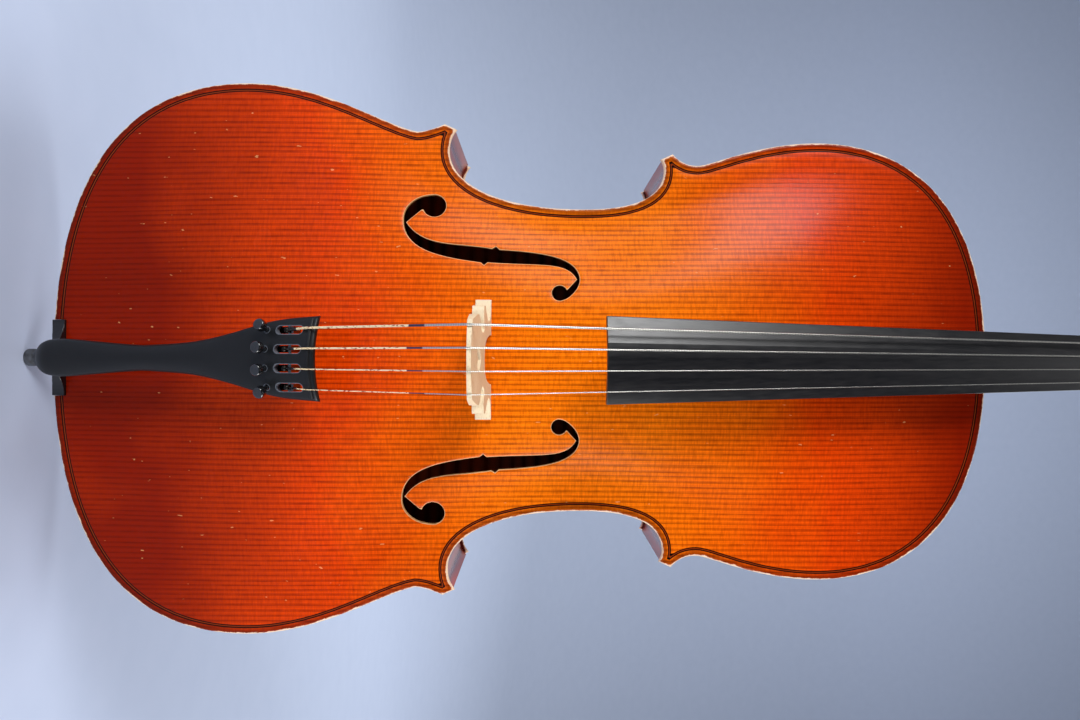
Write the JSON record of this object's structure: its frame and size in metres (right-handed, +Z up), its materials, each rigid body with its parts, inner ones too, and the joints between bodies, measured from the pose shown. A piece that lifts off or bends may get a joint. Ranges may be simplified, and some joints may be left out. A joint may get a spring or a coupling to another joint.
{
  "type": "cello",
  "caption": "Full-size cello: arched sound box with f-holes, neck, fingerboard, pegs, bridge, strings, tuner tailpiece and sliding endpin.",
  "frame": {"origin": "centre of the flat underside of the endpin's rubber tip, with the endpin pushed in", "axes": "+Z up the instrument from the endpin to the scroll, -Y out of the front towards the strings, -X the bass side"},
  "size_m": [0.4464, 0.2668, 1.2927],
  "materials": {
    "varnished_spruce": "red-orange oil varnish on fine straight-grained spruce, glossy",
    "varnished_maple": "dark red-brown varnish on flamed maple, glossy",
    "bare_willow": "bare, sawn",
    "bare_spruce": "bare, planed",
    "bridge_maple": "bare quarter-sawn maple with a light seal",
    "ebony": "oiled ebony, satin",
    "black_composite": "satin dark grey composite",
    "black_metal": "glossy black plating",
    "steel": "bright",
    "string_metal": "flat metal winding",
    "rubber": "matte",
    "tail_cord": "twisted synthetic cord"
  },
  "bodies": {
    "root": {"top_plate": "varnished_spruce", "back_plate": "varnished_maple", "lower_rib": "varnished_maple", "waist_rib_bass": "varnished_maple", "waist_rib_treble": "varnished_maple", "upper_rib_bass": "varnished_maple", "upper_rib_treble": "varnished_maple", "lower_corner_block_bass": "bare_willow", "lower_corner_block_treble": "bare_willow", "upper_corner_block_bass": "bare_willow", "upper_corner_block_treble": "bare_willow", "bottom_block": "bare_willow", "top_block": "bare_willow", "lower_lining_top_bass": "bare_willow", "lower_lining_top_treble": "bare_willow", "lower_lining_back_bass": "bare_willow", "lower_lining_back_treble": "bare_willow", "waist_lining_top_bass": "bare_willow", "waist_lining_top_treble": "bare_willow", "waist_lining_back_bass": "bare_willow", "waist_lining_back_treble": "bare_willow", "upper_lining_top_bass": "bare_willow", "upper_lining_top_treble": "bare_willow", "upper_lining_back_bass": "bare_willow", "upper_lining_back_treble": "bare_willow", "bass_bar": "bare_spruce", "sound_post": "bare_spruce", "neck": "varnished_maple", "fingerboard": "ebony", "nut": "ebony", "saddle": "ebony", "bridge": "bridge_maple", "tailpiece": "black_composite", "lever_pin": "steel", "tailcord": "tail_cord", "endpin_plug": "ebony", "endpin_ferrule": "steel", "string_c": "string_metal", "string_g": "string_metal", "string_d": "string_metal", "string_a": "string_metal"},
    "endpin": {"endpin_rod": "steel", "rubber_tip": "rubber"},
    "endpin_thumb_screw": {"endpin_thumb_screw": "black_metal"},
    "peg_c": {"peg_c": "ebony", "winding_c": "string_metal"},
    "tuner_screw_c": {"tuner_screw_c": "black_metal"},
    "tuner_lever_c": {"tuner_lever_c": "black_metal"},
    "peg_g": {"peg_g": "ebony", "winding_g": "string_metal"},
    "tuner_screw_g": {"tuner_screw_g": "black_metal"},
    "tuner_lever_g": {"tuner_lever_g": "black_metal"},
    "peg_d": {"peg_d": "ebony", "winding_d": "string_metal"},
    "tuner_screw_d": {"tuner_screw_d": "black_metal"},
    "tuner_lever_d": {"tuner_lever_d": "black_metal"},
    "peg_a": {"peg_a": "ebony", "winding_a": "string_metal"},
    "tuner_screw_a": {"tuner_screw_a": "black_metal"},
    "tuner_lever_a": {"tuner_lever_a": "black_metal"}
  },
  "joints": [
    {"name": "endpin_slide", "type": "slide", "parent": "root", "child": "endpin", "axis": [0, 0, -1], "range_m": [0, 0.35]},
    {"name": "endpin_thumb_screw_turn", "type": "hinge", "parent": "root", "child": "endpin_thumb_screw", "pos_m": [0, 0, 0.0342], "axis": [1, 0, 0], "range_deg": [0, 720]},
    {"name": "peg_c_turn", "type": "hinge", "parent": "root", "child": "peg_c", "pos_m": [0, -0.0169, 1.12183], "axis": [-1, 0, 0], "continuous": true},
    {"name": "peg_a_turn", "type": "hinge", "parent": "root", "child": "peg_a", "pos_m": [0, -0.01032, 1.14701], "axis": [1, 0, 0], "continuous": true},
    {"name": "peg_g_turn", "type": "hinge", "parent": "root", "child": "peg_g", "pos_m": [0, -0.00172, 1.17993], "axis": [-1, 0, 0], "continuous": true},
    {"name": "peg_d_turn", "type": "hinge", "parent": "root", "child": "peg_d", "pos_m": [0, 0.00486, 1.20511], "axis": [1, 0, 0], "continuous": true},
    {"name": "tuner_screw_c_turn", "type": "hinge", "parent": "root", "child": "tuner_screw_c", "pos_m": [-0.02065, -0.13201, 0.2593], "axis": [0.3331, 0.922, 0.1976], "range_deg": [0, 1800]},
    {"name": "tuner_lever_c_tilt", "type": "hinge", "parent": "root", "child": "tuner_lever_c", "pos_m": [-0.02065, -0.12771, 0.27454], "axis": [1, 0, 0], "range_deg": [0, 12.5]},
    {"name": "tuner_screw_g_turn", "type": "hinge", "parent": "root", "child": "tuner_screw_g", "pos_m": [-0.00688, -0.13514, 0.25863], "axis": [0.111, 0.9718, 0.2083], "range_deg": [0, 1800]},
    {"name": "tuner_lever_g_tilt", "type": "hinge", "parent": "root", "child": "tuner_lever_g", "pos_m": [-0.00688, -0.12771, 0.27454], "axis": [1, 0, 0], "range_deg": [0, 12.5]},
    {"name": "tuner_screw_d_turn", "type": "hinge", "parent": "root", "child": "tuner_screw_d", "pos_m": [0.00688, -0.13514, 0.25863], "axis": [-0.111, 0.9718, 0.2083], "range_deg": [0, 1800]},
    {"name": "tuner_lever_d_tilt", "type": "hinge", "parent": "root", "child": "tuner_lever_d", "pos_m": [0.00688, -0.12771, 0.27454], "axis": [1, 0, 0], "range_deg": [0, 12.5]},
    {"name": "tuner_screw_a_turn", "type": "hinge", "parent": "root", "child": "tuner_screw_a", "pos_m": [0.02065, -0.13201, 0.2593], "axis": [-0.3331, 0.922, 0.1976], "range_deg": [0, 1800]},
    {"name": "tuner_lever_a_tilt", "type": "hinge", "parent": "root", "child": "tuner_lever_a", "pos_m": [0.02065, -0.12771, 0.27454], "axis": [1, 0, 0], "range_deg": [0, 12.5]}
  ],
  "couplings": [
    {"joint": "tuner_lever_c_tilt", "follows": "tuner_screw_c_turn", "ratio": 0.0067},
    {"joint": "tuner_lever_g_tilt", "follows": "tuner_screw_g_turn", "ratio": 0.0067},
    {"joint": "tuner_lever_d_tilt", "follows": "tuner_screw_d_turn", "ratio": 0.0067},
    {"joint": "tuner_lever_a_tilt", "follows": "tuner_screw_a_turn", "ratio": 0.0067}
  ]
}
